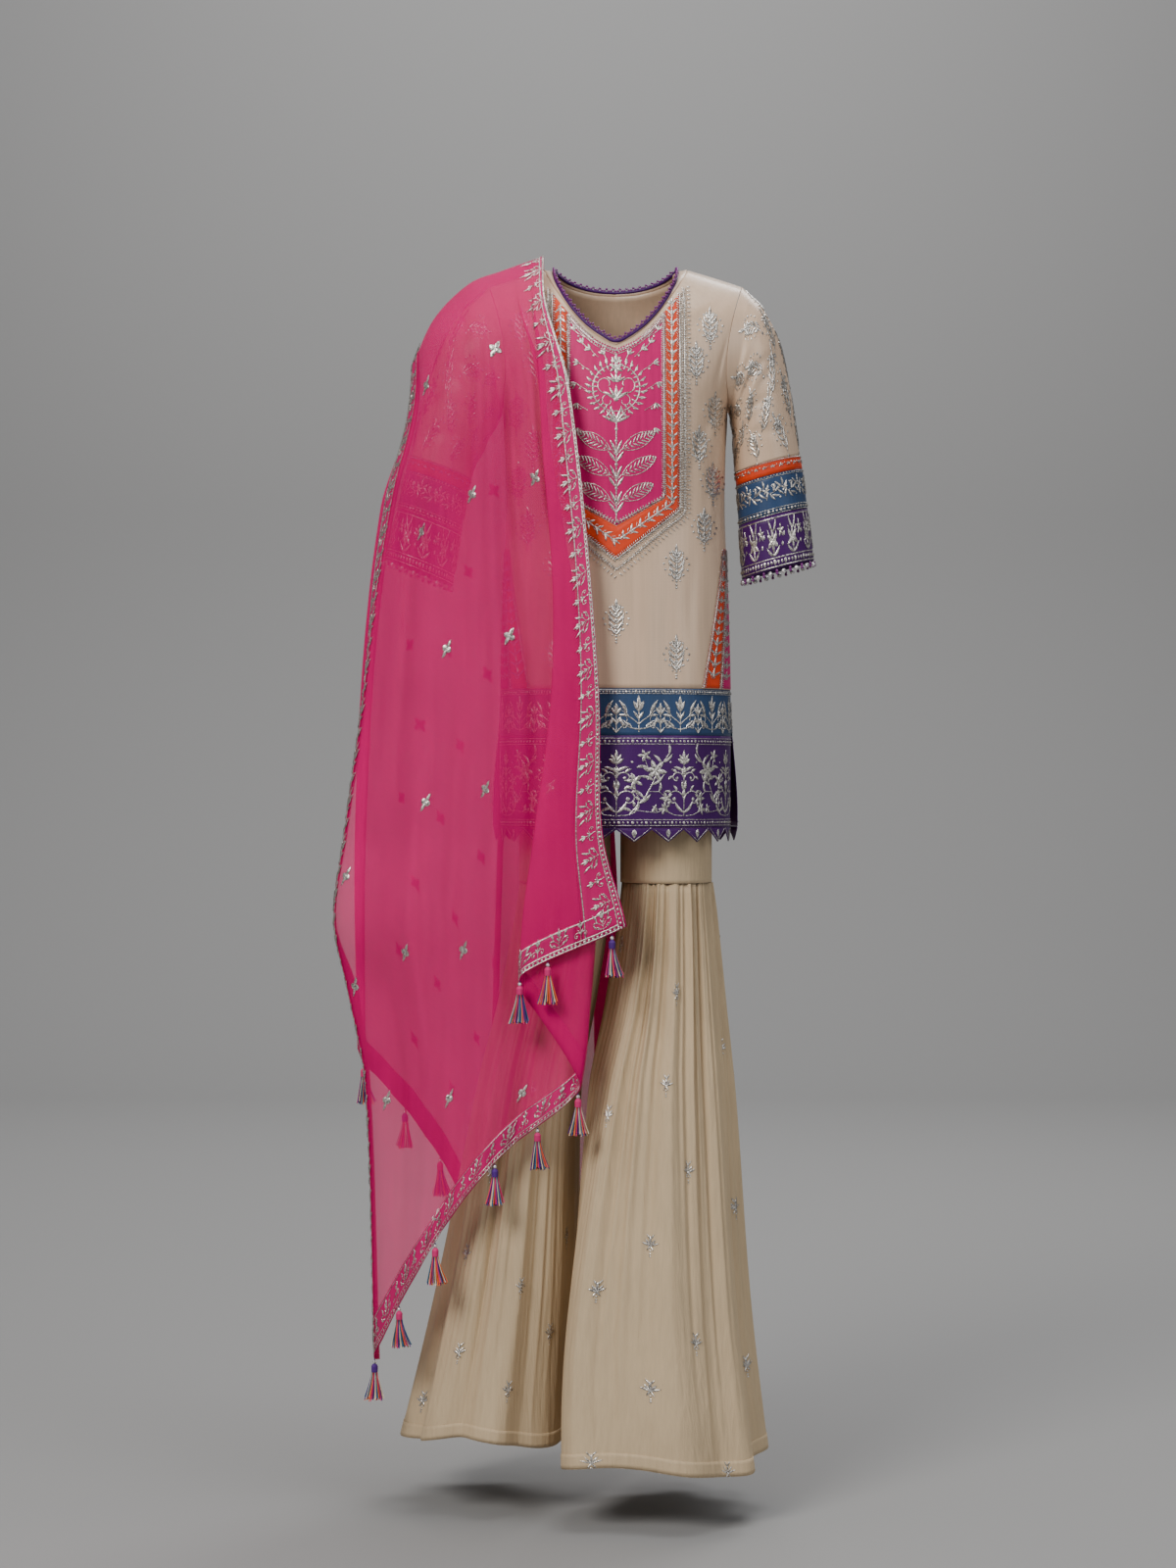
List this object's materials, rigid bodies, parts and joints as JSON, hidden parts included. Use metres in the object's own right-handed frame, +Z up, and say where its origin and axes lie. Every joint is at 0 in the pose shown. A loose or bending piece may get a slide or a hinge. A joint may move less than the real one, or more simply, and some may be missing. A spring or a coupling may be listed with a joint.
{
  "type": "sharara suit",
  "caption": "Sharara suit as worn: short kurta with embroidered borders, two gathered flared legs and a bordered, tasselled dupatta over one shoulder.",
  "frame": {"origin": "midway between the two neck points of the shoulder seams, where the wearer's shoulders carry the suit", "axes": "+Z up, the wearer faces -Y, +X towards the wearer's left"},
  "size_m": [0.5884, 0.4032, 1.4708],
  "materials": {
    "beige_silk": "soft satin",
    "cream_georgette": "matt crepe",
    "magenta_georgette": "sheer crepe",
    "magenta_silk": "embroidered silk",
    "orange_silk": "embroidered silk",
    "blue_silk": "embroidered silk",
    "purple_silk": "embroidered silk",
    "silver_lace": "metallic thread",
    "tassel_thread": "silk floss"
  },
  "bodies": {
    "root": {"kurta_front": "beige_silk", "border_blue_front": "blue_silk", "border_purple_front": "purple_silk", "hem_points_front": "silver_lace", "kurta_back": "beige_silk", "border_blue_back": "blue_silk", "border_purple_back": "purple_silk", "hem_points_back": "silver_lace", "yoke": "magenta_silk", "yoke_border": "orange_silk", "neck_piping": "purple_silk", "insert_orange_left": "orange_silk", "insert_magenta_left": "magenta_silk", "sleeve_left": "beige_silk", "cuff_orange_left": "orange_silk", "cuff_blue_left": "blue_silk", "cuff_purple_left": "purple_silk", "sharara_upper_left": "cream_georgette", "flare_left": "cream_georgette", "insert_orange_right": "orange_silk", "insert_magenta_right": "magenta_silk", "sleeve_right": "beige_silk", "cuff_orange_right": "orange_silk", "cuff_blue_right": "blue_silk", "cuff_purple_right": "purple_silk", "sharara_upper_right": "cream_georgette", "flare_right": "cream_georgette", "waistband": "cream_georgette", "dupatta": "magenta_georgette", "dupatta_border_inner": "magenta_silk", "dupatta_border_outer": "magenta_silk", "dupatta_border_front": "magenta_silk", "dupatta_border_back": "magenta_silk", "tassel_01": "tassel_thread", "tassel_02": "tassel_thread", "tassel_03": "tassel_thread", "tassel_04": "tassel_thread", "tassel_05": "tassel_thread", "tassel_06": "tassel_thread", "tassel_07": "tassel_thread", "tassel_08": "tassel_thread", "tassel_09": "tassel_thread", "tassel_10": "tassel_thread", "tassel_11": "tassel_thread", "tassel_12": "tassel_thread", "tassel_13": "tassel_thread", "tassel_14": "tassel_thread", "tassel_15": "tassel_thread"}
  },
  "joints": []
}
